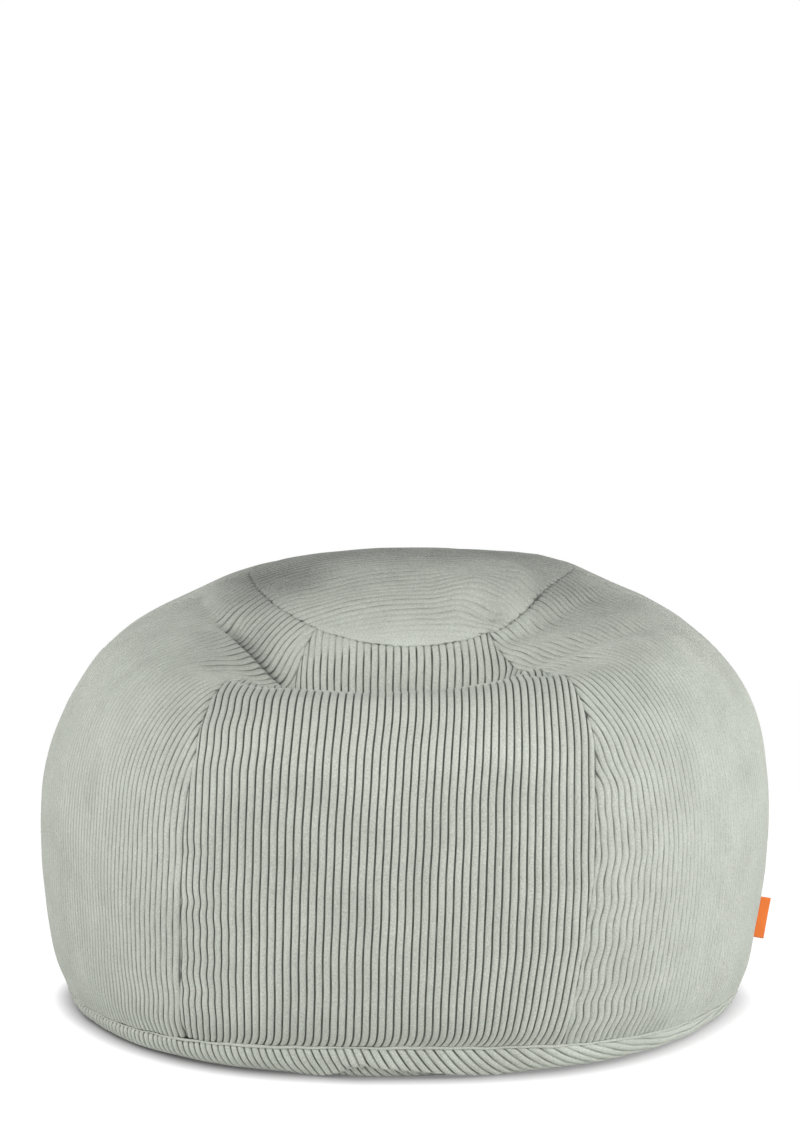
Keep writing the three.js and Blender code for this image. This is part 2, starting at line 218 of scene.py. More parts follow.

# Creases of the sides with painted shade: rise is how far their pile is painted darker
SHADED_CREASES = [
    Fold("left crease", (-37, 9.83), (-57, 9.94), 8, -0.85, 12),
    Fold("right end of the lip", (28, 9.55), (36, 9.3), 5, -0.5, 10),
]

# Places where a seam is pinched: its puckers are deeper and its painted shade is wider there
PINCHES = [
    Patch("left seam at the base", (-279, -367, 34), (20, 20, 14), 2.2),
    Patch("right seam, far", (186, -82, 574), (24, 30, 14), 1.4),
    Patch("left seam, far", (-208, -42, 578), (24, 30, 16), 1.6),
    Patch("right front corner", (105, -194, 526), (14, 14, 12), 1.4),
]

# How far each side of the six-sided top seam is drawn in between its corners, by the side's middle azimuth
TOP_SIDES = {0: 0, 60: 0.11, 120: 0.05, 180: 0.04, -120: 0.05, -60: 0.02}
DRAWN_IN_RINGS = 3

# How far the two front seams wander from their even places, as ring and azimuth
SEAM_WANDER = {
    -30: [
        (0, -5.5), (1, -3.9), (2, -2.5), (4, -1.4), (6, -1.3),
        (8, -4.4), (9.2, -8.8), (10, -3), (TOP_RING, -3),
    ],
    30: [
        (0, -5), (1, -5.4), (2, -5.1), (3, -4.6), (4, -3.6),
        (5, -3.5), (6, -2.3), (9.5, -0.6), (TOP_RING, -4),
    ],
}

# The roll of cloth along the base seam, and the flat sole
ROLL_RADIUS = 2
ROLL_UNEVENNESS = 0.4
ROLL_WANDER = 0.9
ROLL_SHARES = [(0, 1), (180, 1), (280, 0.4), (315, 0.4), (327, 1), (360, 1)]
ROLL_SIDES = 8
ROLL_STEP = 0.75
ROLL_WANDER_WAVES = (23, 41, 67)
ROLL_SIZE_WAVES = (11, 17, 29)
SOLE_STEP = 5.0
SOLE_OVERLAP = 14
FLOOR_CLEARANCE = 0.3

# The loop label
LABEL_AZIMUTH = 90
LABEL_LENGTH = 58
LABEL_REACH = 20
LABEL_ROOT = 5
LABEL_THICKNESS = 1.8
LABEL_RINGS = (1.28, 2.25)
LABEL_CURL = 1.2
RIBBON_THICKNESS = 0.5
LABEL_RUN_POINTS, LABEL_LAYER_POINTS, LABEL_FOLD_POINTS = 25, 9, 9
BULGE_POINTS = 13

# Colours and fibres
WALE_COLOUR = (0.52, 0.545, 0.49)
# Painted shade in the grooves, and a paler painted shade for uneven places along them
PAINTED_GROOVE_SHADE = (0.05, 0.054, 0.046, 1)
PALER_PAINTED_GROOVE_SHADE = (0.15, 0.16, 0.14, 1)
CORD_SHEEN = 0.5
CORD_FIBRES = {"Cloud Scale": 16, "Cloud Strength": 0.34, "Speckle Scale": 600, "Speckle Strength": 0.9}
RIBBON_COLOUR = (0.93, 0.21, 0.025)
RIBBON_FIBRES = {"Cloud Scale": 60, "Cloud Strength": 0.06, "Speckle Scale": 1500, "Speckle Strength": 0.12}

# Camera: focus and height of the picture in pixels, and angles in degrees
LENS_FOCUS = 2455
PHOTO_HEIGHT = 1134
CAMERA_AT = np.array([0.0, -3396.04, 846.73])
CAMERA_PITCH = 4.201
CAMERA_YAW = 0.0934

# Studio: lengths in metres, the room's brightness by side, and each lamp's place, size and power
FLOOR_SIZE = 1.7
# The floor's painted shadow: how far it reaches, the span from its left to its right, and its depth each
# side
SHADOW_REACH = 0.035
SHADOW_SPAN = 0.45
SHADOW_DEPTH = {"left": 1.0, "right": 0.6}
ROOM_LIGHT, CEILING_LIGHT = 0.5, 0.08
LEFT_LIGHT, RIGHT_LIGHT = 0.95, 1.05
FRONT_LIGHT, BACK_LIGHT = 1.0, 0.25
LIGHTS = [
    ("key", (0.7, -3.5, 2.5), 1.4, 80),
    ("left", (-3.2, -0.9, 1.1), 1.4, 50),
    ("right", (3.2, -0.9, 1.0), 1.4, 43),
]
LIGHTS_AIM = (0, 0, 0.3)

# Each side panel's middle azimuth, and how far the grooves of each panel are closed
SIDE_PANELS = {
    "side_panel_front": 0,
    "side_panel_front_right": 60,
    "side_panel_back_right": 120,
    "side_panel_back": 180,
    "side_panel_back_left": 240,
    "side_panel_front_left": 300,
}
FRONT_CLOSED, SIDE_CLOSED, TOP_CLOSED, BASE_CLOSED = 0, 0.2, 0.34, 0.15


def wrapped(azimuth):
    """The same azimuth between -180 and 180."""
    return (np.asarray(azimuth, float) + 180) % 360 - 180


def ring_value(column, ring):
    """A column of the rings' table at any place between rings, on a smooth curve through the rows."""
    rows = RING_TABLE[column]
    rows = np.concatenate([[2 * rows[0] - rows[1]], rows, [2 * rows[-1] - rows[-2]]])
    ring = np.asarray(ring, float)
    low = np.clip(np.floor(ring), 0, TOP_RING - 1).astype(int)
    share = ring - low
    before, here, after, beyond = (rows[low + i] for i in range(4))
    linear = (after - before) * share
    square = (2 * before - 5 * here + 4 * after - beyond) * share**2
    cube = (3 * here - 3 * after + beyond - before) * share**3
    return (2 * here + linear + square + cube) / 2


def front_share(azimuth, ring):
    """How much of the front's shape a place has, from 0 to 1."""
    away = wrapped(azimuth - ring_value("turn", ring)) / ring_value("fade", ring)
    return 0.5 ** (away**2)


def slumped(side_column, front_column, azimuth, ring):
    """A value that goes from the sides' column to the front's, as the bag slumps forwards."""
    share = front_share(azimuth, ring)
    return ring_value(side_column, ring) * (1 - share) + ring_value(front_column, ring) * share


def plain_radius(azimuth, ring):
    """Radius of the side before its folds and flats."""
    return slumped("radius", "front_radius", azimuth, ring)


def plain_height(azimuth, ring):
    """Height of the side before its folds."""
    return slumped("height", "front_height", azimuth, ring)


def on_side(azimuth, ring):
    """Where a place of the side lies on its own sheet."""
    return np.radians(azimuth) * FOLD_RADIUS, ring * RING_LENGTH


def on_rim(azimuth, share):
    """Where a place of the base panel's rim lies on its own sheet."""
    return np.radians(azimuth) * FLOOR_RADIUS, share * RIM_LENGTH


def fold_rise(folds, x, y, place_of):
    """Rise of a set of folds at places x, y on their own sheet."""
    rise = 0
    for fold in folds:
        start = np.array(place_of(*fold.start), float)
        along = np.array(place_of(*fold.end), float) - start
        length = np.hypot(*along)
        run = ((x - start[0]) * along[0] + (y - start[1]) * along[1]) / length
        across = ((x - start[0]) * along[1] - (y - start[1]) * along[0]) / length
        past_end = np.maximum(np.maximum(-run, run - length), 0) / fold.fade
        window = np.exp(-(past_end**2) - np.abs(across / fold.reach) ** fold.edge)
        rise = rise + window * (fold.rise + fold.step * np.tanh(across / FOLD_STEP_WIDTH))
    return rise


def drawn_in(azimuth, ring):
    """Share of the radius that the six-sided top seam takes away."""
    near_top = np.clip((ring - TOP_RING) / DRAWN_IN_RINGS + 1, 0, 1) ** 2
    share = 0
    for middle, most in TOP_SIDES.items():
        away = wrapped(azimuth - middle)
        cosine = np.cos(np.radians(away * PANEL_COUNT / 2))
        share = share + most * np.where(np.abs(away) < PANEL_ANGLE / 2, cosine, 0)
    return near_top * share


def side_profile(azimuth, ring):
    """Radius and height of the side at azimuths and rings."""
    step = 0.02
    above, below = ring + step, ring - step
    outward = plain_radius(azimuth, above) - plain_radius(azimuth, below)
    upward = plain_height(azimuth, above) - plain_height(azimuth, below)
    length = np.hypot(outward, upward)
    rise = fold_rise(SIDE_FOLDS, *on_side(wrapped(azimuth), ring), on_side)
    radius = plain_radius(azimuth, ring) * (1 - drawn_in(azimuth, ring))
    radius = radius * (1 - ring_value("flatness", ring) * (1 + np.cos(np.radians(azimuth * PANEL_COUNT))))
    return radius + rise * upward / length, plain_height(azimuth, ring) - rise * outward / length


def bag_point(azimuth, radius, height, lean):
    """A point at an azimuth, radius and height from the bag's axis, which lies aside by the lean."""
    turn = np.radians(azimuth)
    x = radius * np.sin(turn) + lean
    return np.stack([x, -radius * np.cos(turn), height + 0 * x], -1) + BAG_OFFSET


def side_point(azimuth, ring):
    """A point of the side's form, before its cord is laid."""
    radius, height = side_profile(azimuth, ring)
    return bag_point(azimuth, radius, height, ring_value("lean", ring))


def top_point(x, y):
    """A point of the top panel over a place in plan, measured from the bag's own axis."""
    azimuth = np.degrees(np.arctan2(x, -y))
    seam_radius, seam_height = side_profile(azimuth, np.full(np.shape(x), float(TOP_RING)))
    share = np.hypot(x, y) / seam_radius
    height = seam_height + (CROWN_HEIGHT - seam_height) * (1 - share**CROWN_ROUNDNESS)
    inside = np.clip((1 - share) / TOP_FOLD_MARGIN, 0, 1)
    height = height + inside * fold_rise(TOP_FOLDS, x, y, lambda *place: place)
    lean = ring_value("lean", TOP_RING)
    return np.stack([x + lean, y, height], -1) + BAG_OFFSET


def floor_radius(azimuth):
    """Radius at which the base panel meets the floor."""
    return FLOOR_RADIUS + (FRONT_FLOOR_RADIUS - FLOOR_RADIUS) * front_share(azimuth, 0)


def rim_point(azimuth, share):
    """A point of the base panel's turned-up rim, share 1 at its seam and 0 where it meets the floor."""
    seam_radius, seam_height = side_profile(azimuth, np.zeros(np.shape(azimuth)))
    turn = share * np.pi / 2
    inner = floor_radius(azimuth)
    radius = inner + (seam_radius - inner) * np.sin(turn)
    return bag_point(azimuth, radius, seam_height * (1 - np.cos(turn)), ring_value("lean", 0))


def seam_azimuth(even, ring):
    """Azimuth of the seam that lies near an even azimuth, at rings."""
    rows = SEAM_WANDER.get(int(wrapped(even)), [(0, 0), (TOP_RING, 0)])
    return even + np.interp(ring, [ring for ring, _ in rows], [wander for _, wander in rows])


def fold_window(across, along, edge=2):
    """A smooth window, 1 in the middle and near 0 beyond a distance of 1 or so either way."""
    return np.exp(-(across**2) - np.abs(along) ** edge)


def ripple(*turns):
    """A smooth uneven wave between -1 and 1, the mean of several sines."""
    return sum(np.sin(turn) for turn in turns) / len(turns)


def wavering(run, place, waves):
    """An uneven wave over a panel, from each wave's length along and across the wales, and its start."""
    return ripple(*(run / along + place / across + start for along, across, start in waves))


def pile_height(place):
    """Height of the pile, from 0 in a groove to 1 on a wale, at places across the wales."""
    from_groove = np.abs((place / WALE_PITCH + 0.5) % 1 - 0.5)
    across = np.clip((0.5 - from_groove) / (0.5 - GROOVE_SHARE / 2), 0, 1)
    return (1 - across**WALE_SQUARENESS) ** 0.5


def wale_places(low, high):
    """Places of the mesh's lines across the wales, between two bounds."""
    wales = np.arange(math.floor(low / WALE_PITCH) - 1, math.ceil(high / WALE_PITCH) + 1)
    return ((wales[:, None] + np.array(WALE_STEPS)) * WALE_PITCH).ravel()


def clipped(places, low, high):
    """Clips each row of places to its panel, and numbers the points, those past an edge as one."""
    columns = np.arange(places.shape[1])
    first = np.maximum((places <= low[:, None]).sum(1) - 1, 0)
    last = np.minimum((places < high[:, None]).sum(1), places.shape[1] - 1)
    held = np.clip(columns, first[:, None], last[:, None])
    offsets = np.concatenate([[0], np.cumsum(last - first + 1)[:-1]])
    number = offsets[:, None] + held - first[:, None]
    kept = (columns >= first[:, None]) & (columns <= last[:, None])
    return np.clip(places, low[:, None], high[:, None]), number, kept


def grid_faces(number):
    """Faces between the numbered points of neighbouring rows and columns."""
    a, b, c, d = number[:-1, :-1], number[:-1, 1:], number[1:, 1:], number[1:, :-1]
    faces = [list(face) for face in np.stack([a, b, c, d], -1)[(a != b) & (c != d)]]
    faces += [list(face) for face in np.stack([a, c, d], -1)[(a == b) & (c != d)]]
    faces += [list(face) for face in np.stack([a, b, c], -1)[(a != b) & (c == d)]]
    return faces


def edge_loop(number):
    """The numbered points round the grid's edge, each once."""
    loop = np.concatenate([number[0], number[1:, -1], number[-1, ::-1], number[-2:0:-1, 0]])
    return [point for i, point in enumerate(loop) if point != loop[i - 1]]


def normals_of(point, run, place):
    """Outward normals of a panel given as point(run, place), in millimetres along and across its wales."""
    step = 0.5
    across = point(run, place + step) - point(run, place - step)
    along = point(run + step, place) - point(run - step, place)
    normal = np.cross(across, along)
    return normal / np.linalg.norm(normal, axis=-1, keepdims=True)


def patches(rows, points):
    """The sum at points of a table's patches, each even inside its reach and fading out past it."""
    total = 0
    for patch in rows:
        away = (points - patch.middle) / patch.reach
        total = total + patch.amount * np.exp(-(away**4).sum(-1))
    return total


def lay_cord(rows, low, high, point, seam_distance, sway, closed, relief=None, shading=None):
    """Points, faces and pile of a panel of cord: rows of points along its wales, cut off at its two edges.

    Closed is the share of the pile's height that its grooves are filled by, more or less. Relief adds a
    rise of the cloth at a place, and shading adds painted shade to the pile there. The pile that comes back
    carries painted shade along the seams too.
    """
    wale = wale_places(low.min() - SWAY_ROOM, high.max() + SWAY_ROOM) + np.zeros((len(rows), 1))
    run = rows[:, None] + np.zeros_like(wale)
    moved = wale + sway(run, wale)
    place, number, kept = clipped(moved, low, high)
    run, place = run[kept], place[kept]
    base, normals = point(run, place), normals_of(point, run, place)
    uneven = ripple(*(run / along + wale[kept] * turn for along, turn in GROOVE_WAVES))
    groove = closed + patches(CLOSED_PATCHES, base) + GROOVE_UNEVENNESS * uneven
    pile = np.maximum(pile_height((wale - moved)[kept] + place), groove)
    seam = seam_distance(run, place)
    pinch = 1 + patches(PINCHES, base)
    pucker = PUCKER_RISE * pinch * np.exp(-seam * pinch / PUCKER_REACH) * ripple(*(base / PUCKER_LENGTHS).T)
    sink = SEAM_SINK * np.exp(-((seam / SEAM_WIDTH) ** 2))
    lump = LUMP_RISE * ripple(*(base @ LUMP_TURNS).T)
    rise = pile * WALE_HEIGHT - WALE_SINK + pucker + lump - sink
    if relief:
        rise = rise + relief(run, place)
    points = base + normals * rise[:, None]
    loop = edge_loop(number)
    hem = points[loop] - normals[loop] * HEM_DEPTH
    faces = grid_faces(number)
    for i in range(len(loop)):
        hem_here, hem_before = len(points) + i, len(points) + (i - 1) % len(loop)
        faces.append([loop[i], loop[i - 1], hem_before, hem_here])
    # Painted shade along the seams, in uneven kinks, wider where a seam is pinched
    kink = KINK_SHADE + KINK_UNEVENNESS * ripple(*(base / KINK_LENGTHS).T)
    shade = pile * (1 - kink * np.exp(-((seam / (SEAM_SHADE_WIDTH * pinch)) ** 2)))
    # Painted shade in the shaded creases
    if shading:
        shade = shade * (1 + shading(run, place))
    return np.concatenate([points, hem]), faces, np.concatenate([shade, np.zeros(len(loop))])


def cloth_piece(name, points, faces, pile, material):
    """A smooth mesh with the pile's height and painted seam shade, and painted light and shade by place."""
    mesh = bpy.data.meshes.new(name)
    mesh.from_pydata((points * MM).tolist(), [], faces)
    mesh.polygons.foreach_set("use_smooth", np.ones(len(mesh.polygons), bool))
    # The pile carries painted seam and crease shade; the other attribute carries painted light and shade by
    # place
    for attribute, values in (("pile", pile), ("nap_and_painted_light", patches(PAINTED_LIGHT_PATCHES, points))):
        tone = mesh.attributes.new(attribute, "FLOAT", "POINT")
        tone.data.foreach_set("value", values.astype(np.float32))
    mesh.materials.append(material)
    piece = bpy.data.objects.new(name, mesh)
    bpy.context.scene.collection.objects.link(piece)
    return piece


def fit(piece, node):
    """Puts a piece in its node's place."""
    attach(piece, "root")
    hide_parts(node)


def length_along(points):
    """Distance run along a line of points, from 0 at the first."""
    return np.concatenate([[0], np.cumsum(np.linalg.norm(np.diff(points, axis=0), axis=-1))])


def row_places(length, fine_low, fine_high):
    """Places of a side panel's rows along its wales, closer by its two ends and where it is folded."""
    start = np.array(END_ROWS)
    stops = [start[-1], fine_low, fine_high, length - start[-1]]
    steps = [ROW_STEP, FINE_ROW_STEP, ROW_STEP]
    inner = [np.linspace(a, b, max(round((b - a) / step), 1), endpoint=False)
             for a, b, step in zip(stops, stops[1:], steps)]
    return np.unique(np.concatenate([start[:-1], *inner, (length - start)[::-1]]))


def side_sway(middle, low, high):
    """How far a side panel's wales lie to the right of straight, as a function of places on it."""
    seams = {"left": low, "middle": lambda run: 0 * run, "right": high}
    waves = [row for row in SWAYS if row.panel == wrapped(middle)]
    pulls = [row for row in PULLS if row.panel == wrapped(middle)]
    wavers = [(along, across, start * middle) for along, across, start in SIDE_WAVES]

    def sway(run, place):
        shift = SIDE_WAVER * wavering(run, place, wavers)
        for row in waves:
            across = (place - seams[row.seam](run) - row.place) / row.reach
            along = (run - row.run) / row.fade
            wave = np.cos(2 * np.pi * (run - row.run) / row.length) if row.length else 1
            shift = shift + row.shift * wave * fold_window(across, along, row.edge)
        for row in pulls:
            start = seams[row.seam](row.run)
            drift = seams[row.seam](np.minimum(run, row.run)) - start
            shift = shift + row.share * drift * fold_window((place - start) / row.reach, 0)
        return shift
    return sway


def side_panel(node, middle, material):
    """A side panel: wales parallel to its middle line, cut off at the seams."""
    fine_ring = np.linspace(0, TOP_RING, MEASURE_POINTS)
    fine_run = length_along(side_point(np.full(fine_ring.shape, float(middle)), fine_ring))
    length = fine_run[-1]
    fine_radius, _ = side_profile(np.full(fine_ring.shape, float(middle)), fine_ring)

    def edge(side):
        """Place of the left or right seam across the panel, as a function of the run."""
        azimuth = seam_azimuth(middle + side * PANEL_ANGLE / 2, fine_ring) - middle
        return lambda run: np.interp(run, fine_run, np.radians(azimuth) * fine_radius)

    def polar(run, place):
        """Azimuth and ring of a place on the panel."""
        ring = np.interp(run, fine_run, fine_ring)
        ring = ring + (run - np.clip(run, 0, length)) / RING_LENGTH
        return middle + np.degrees(place / np.interp(run, fine_run, fine_radius)), ring

    def point(run, place):
        return side_point(*polar(run, place))

    def shading(run, place):
        azimuth, ring = polar(run, place)
        return fold_rise(SHADED_CREASES, *on_side(wrapped(azimuth), ring), on_side)

    def seam_distance(run, place):
        return np.minimum.reduce([place - low(run), high(run) - place, run, length - run])

    low, high = edge(-1), edge(1)
    folded = FINE_ROWS.get(wrapped(middle).item(), NO_FINE_ROWS)
    rows = row_places(length, *np.interp(folded, fine_ring, fine_run))
    closed = SIDE_CLOSED if middle else FRONT_CLOSED
    sway = side_sway(middle, low, high)
    sheet = lay_cord(rows, low(rows), high(rows), point, seam_distance, sway, closed, shading=shading)
    piece = cloth_piece(node.replace("side_panel", "cord_side"), *sheet, material)
    fit(piece, node)


def round_rows(low, high):
    """Places of a round panel's rows, closer together at its two ends."""
    turns = np.linspace(-np.pi / 2, np.pi / 2, round((high - low) / ROW_STEP * np.pi / 2) + 1)
    return (low + high) / 2 + (high - low) / 2 * ROUND_END * np.sin(turns)


def outline_edges(run, place):
    """The low and high edge of a closed outline of runs and places, each as a function of the run."""
    start, end = np.argmin(run), np.argmax(run)
    order = np.roll(np.arange(len(run)), -start)
    split = int((end - start) % len(run))
    chains = order[: split + 1], np.append(order[split:], order[0])[::-1]
    chains = sorted(chains, key=lambda chain: place[chain].mean())
    return [lambda rows, chain=chain: np.interp(rows, run[chain], place[chain]) for chain in chains]


def top_panel(node, material):
    """The six-sided top panel: wales across the bag, from left to right."""
    seam_radius, _ = side_profile(AZIMUTHS, np.full(AZIMUTHS.shape, float(TOP_RING)))
    turn = math.radians(TOP_WALE_ANGLE)
    reach = seam_radius.max() + SWAY_ROOM
    fine_back = np.linspace(reach, -reach, MEASURE_POINTS)
    fine_place = length_along(top_point(-fine_back * math.sin(turn), fine_back * math.cos(turn)))

    def plan(run, place):
        """Where a place of the panel lies in plan."""
        back = np.interp(place, fine_place, fine_back)
        return run * math.cos(turn) - back * math.sin(turn), run * math.sin(turn) + back * math.cos(turn)

    def point(run, place):
        return top_point(*plan(run, place))

    def seam_distance(run, place):
        x, y = plan(run, place)
        azimuth = np.degrees(np.arctan2(x, -y))
        return np.interp(azimuth, AZIMUTHS, seam_radius, period=360) - np.hypot(x, y)

    def sway(run, place):
        return TOP_WAVER * wavering(run, place, TOP_WAVES)

    seam_turns = np.radians(AZIMUTHS) - turn
    seam_run = seam_radius * np.sin(seam_turns)
    seam_place = np.interp(seam_radius * np.cos(seam_turns), -fine_back, fine_place)
    low, high = outline_edges(seam_run, seam_place)
    rows = round_rows(seam_run.min(), seam_run.max())
    sheet = lay_cord(rows, low(rows), high(rows), point, seam_distance, sway, TOP_CLOSED)
    piece = cloth_piece("cord_top", *sheet, material)
    fit(piece, node)


def base_panel(node, material):
    """The round base panel: its rim is turned up to the base seam, and its wales cross it at a slant."""
    shares = np.linspace(0, 1, RIM_POINTS)
    rim = rim_point(AZIMUTHS[:, None] + 0 * shares, shares + 0 * AZIMUTHS[:, None])
    rim_width = np.linalg.norm(np.diff(rim, axis=1), axis=-1).sum(1)
    turn = math.radians(BASE_WALE_ANGLE)

    def flat_polar(run, place):
        """Azimuth, and the cloth's own radius, of a place on the panel before its rim was turned up."""
        x = run * math.cos(turn) - place * math.sin(turn)
        y = run * math.sin(turn) + place * math.cos(turn)
        return np.degrees(np.arctan2(x, -y)), np.hypot(x, y)

    def rim_share(azimuth, radius):
        """How far up the rim a place lies, below 0 on the flat and 1 at the seam."""
        return (radius - floor_radius(azimuth)) / np.interp(azimuth, AZIMUTHS, rim_width, period=360)

    def point(run, place):
        azimuth, radius = flat_polar(run, place)
        share = rim_share(azimuth, radius)
        flat = bag_point(azimuth, np.minimum(radius, floor_radius(azimuth)), 0, ring_value("lean", 0))
        return np.where(share[..., None] > 0, rim_point(azimuth, np.maximum(share, 0)), flat)

    def seam_distance(run, place):
        azimuth, radius = flat_polar(run, place)
        return (1 - rim_share(azimuth, radius)) * np.interp(azimuth, AZIMUTHS, rim_width, period=360)

    def relief(run, place):
        azimuth, radius = flat_polar(run, place)
        return fold_rise(BASE_FOLDS, *on_rim(azimuth, rim_share(azimuth, radius)), on_rim)

    def no_sway(run, place):
        return 0 * run

    reach = floor_radius(AZIMUTHS) + rim_width
    x, y = reach * np.sin(np.radians(AZIMUTHS)), -reach * np.cos(np.radians(AZIMUTHS))
    seam_run = x * math.cos(turn) + y * math.sin(turn)
    low, high = outline_edges(seam_run, y * math.cos(turn) - x * math.sin(turn))
    rows = round_rows(seam_run.min(), seam_run.max())
    points, faces, pile = lay_cord(
        rows, low(rows), high(rows), point, seam_distance, no_sway, BASE_CLOSED, relief)
    centre = bag_point(0, 0, 0, ring_value("lean", 0))
    radius = np.hypot(*(points - centre)[:, :2].T)
    faces = [face for face in faces if radius[face].max() > FRONT_FLOOR_RADIUS - SOLE_OVERLAP]
    sheets = [(points, faces, pile), sole(), seam_roll()]
    piece = cloth_piece("cord_base", *joined(sheets), material)
    fit(piece, node)


def joined(sheets):
    """Several lots of points, faces and pile as one, without the points that no face uses."""
    start, all_faces = 0, []
    for points, faces, _ in sheets:
        all_faces += [[start + int(point) for point in face] for face in faces]
        start += len(points)
    points = np.concatenate([points for points, _, _ in sheets])
    pile = np.concatenate([pile for _, _, pile in sheets])
    used = np.zeros(len(points), bool)
    used[np.concatenate(all_faces)] = True
    number = np.cumsum(used) - 1
    points = points[used]
    points[:, 2] = np.maximum(points[:, 2], FLOOR_CLEARANCE)
    return points, [[int(number[point]) for point in face] for face in all_faces], pile[used]


def sole():
    """The flat middle of the base panel, which lies on the floor."""
    azimuths = np.arange(0, 360, SOLE_STEP)
    ring = bag_point(azimuths, FRONT_FLOOR_RADIUS - SOLE_OVERLAP / 2, 0, ring_value("lean", 0))
    return ring, [list(range(len(ring)))], np.ones(len(ring))


def seam_roll():
    """The smooth roll of turned cloth that shows along the base seam."""
    azimuths = np.arange(0, 360, ROLL_STEP)
    line = side_point(azimuths, np.zeros(azimuths.shape))
    turns = np.radians(azimuths)
    line[:, 2] += ROLL_WANDER * ripple(*(turns * waves + i for i, waves in enumerate(ROLL_WANDER_WAVES)))
    uneven = ripple(*(turns * waves + i for i, waves in enumerate(ROLL_SIZE_WAVES)))
    size = ROLL_RADIUS * (1 + ROLL_UNEVENNESS * uneven)
    size = size * np.interp(azimuths, *np.transpose(ROLL_SHARES))
    out = np.stack([np.sin(turns), -np.cos(turns), 0 * turns], -1)
    round_turns = np.linspace(0, 2 * np.pi, ROLL_SIDES, endpoint=False)
    up = np.array([0, 0, 1])
    rings = [line + size[:, None] * (out * math.cos(turn) + up * math.sin(turn)) for turn in round_turns]
    number = np.arange(len(azimuths) * ROLL_SIDES).reshape(ROLL_SIDES, -1)
    closed = np.pad(number, ((0, 1), (0, 1)), mode="wrap")
    return np.concatenate(rings), grid_faces(closed[::-1]), np.ones(number.size)


def label_piece(node, material):
    """A folded loop of ribbon standing out of the right seam."""
    low, high = (side_point(np.array([LABEL_AZIMUTH]), np.array([ring]))[0] for ring in LABEL_RINGS)
    along = (high - low) / np.linalg.norm(high - low)
    out = np.array([along[2], 0, -along[0]])
    rings = np.linspace(*LABEL_RINGS, BULGE_POINTS)
    bulge = ((side_point(LABEL_AZIMUTH + 0 * rings, rings) - low) @ out).max()
    start = (low + high) / 2 - along * LABEL_LENGTH / 2 + out * bulge
    across = np.cross(along, out)
    gap = LABEL_THICKNESS / 2 - RIBBON_THICKNESS / 2
    turns = np.linspace(-np.pi / 2, np.pi / 2, LABEL_FOLD_POINTS)
    reach = np.linspace(-LABEL_ROOT, LABEL_REACH - gap, LABEL_LAYER_POINTS)[:-1]
    layers = [(place, -gap) for place in reach]
    fold = [(LABEL_REACH - gap + gap * math.cos(turn), gap * math.sin(turn)) for turn in turns]
    path = np.array(layers + fold + [(place, gap) for place in reach[::-1]])
    runs = np.linspace(0, 1, LABEL_RUN_POINTS)
    points = []
    for run in runs:
        curl = LABEL_CURL * math.sin(math.pi * run) * np.clip(path[:, 0] / LABEL_REACH, 0, 1) ** 2
        offset = path[:, :1] * out + (path[:, 1:] + curl[:, None]) * across
        points.append(start + along * LABEL_LENGTH * run + offset)
    number = np.arange(len(runs) * len(path)).reshape(len(runs), -1)
    points = np.concatenate(points)
    piece = cloth_piece("ribbon_label", points, grid_faces(number), np.ones(len(points)), material)
    ribbon = piece.modifiers.new("ribbon", "SOLIDIFY")
    ribbon.thickness = RIBBON_THICKNESS * MM
    ribbon.offset = 0
    fit(piece, node)


def add_node(tree, kind, inputs=None, **settings):
    """A shader node with its settings, and its inputs set to values or joined to other nodes' outputs."""
    node = tree.nodes.new("ShaderNode" + kind)
    for name, value in settings.items():
        setattr(node, name, value)
    for name, value in (inputs or {}).items():
        if isinstance(value, bpy.types.NodeSocket):
            tree.links.new(value, node.inputs[name])
        else:
            node.inputs[name].default_value = value
    return node


def shaded(tree, colour, shade):
    """A colour made lighter or darker by a factor."""
    return add_node(tree, "VectorMath", {0: colour, 1: shade}, operation="MULTIPLY").outputs[0]


def new_group(name, inputs, outputs):
    """An empty node group with float inputs and their values, and outputs."""
    group = bpy.data.node_groups.new(name, "ShaderNodeTree")
    for socket, value in inputs.items():
        made = group.interface.new_socket(socket, in_out="INPUT", socket_type="NodeSocketFloat")
        made.default_value = value
    for socket in outputs:
        group.interface.new_socket(socket, in_out="OUTPUT", socket_type="NodeSocketFloat")
    return group, group.nodes.new("NodeGroupInput").outputs, group.nodes.new("NodeGroupOutput").inputs


def fibre_group():
    """Cloth made of fibres: cloudy patches where the nap lies another way, and a fine raised speckle."""
    group, inputs, outputs = new_group(
        "fibres", {"Cloud Scale": 14, "Cloud Strength": 0.1, "Speckle Scale": 700, "Speckle Strength": 0.1},
        ["Shade", "Height"])
    place = add_node(group, "TexCoord").outputs["Object"]
    cloud = add_node(group, "TexNoise", {"Vector": place, "Scale": inputs["Cloud Scale"], "Detail": 3})
    speckle = add_node(group, "TexNoise", {"Vector": place, "Scale": inputs["Speckle Scale"], "Detail": 2})
    shades = []
    for noise, strength in ((cloud, "Cloud Strength"), (speckle, "Speckle Strength")):
        centred = add_node(group, "Math", {0: noise.outputs[0], 1: 0.5}, operation="SUBTRACT")
        scaled = add_node(group, "Math", {0: centred.outputs[0], 1: inputs[strength]}, operation="MULTIPLY")
        shades.append(scaled.outputs[0])
    both = add_node(group, "Math", {0: shades[0], 1: shades[1]}, operation="ADD")
    shade = add_node(group, "Math", {0: both.outputs[0], 1: 1.0}, operation="ADD")
    group.links.new(shade.outputs[0], outputs["Shade"])
    group.links.new(speckle.outputs[0], outputs["Height"])
    return group


def new_material(name):
    """A new material, with its node tree and its main shader."""
    material = bpy.data.materials.new(name)
    material.use_nodes = True
    return material, material.node_tree, material.node_tree.nodes["Principled BSDF"]


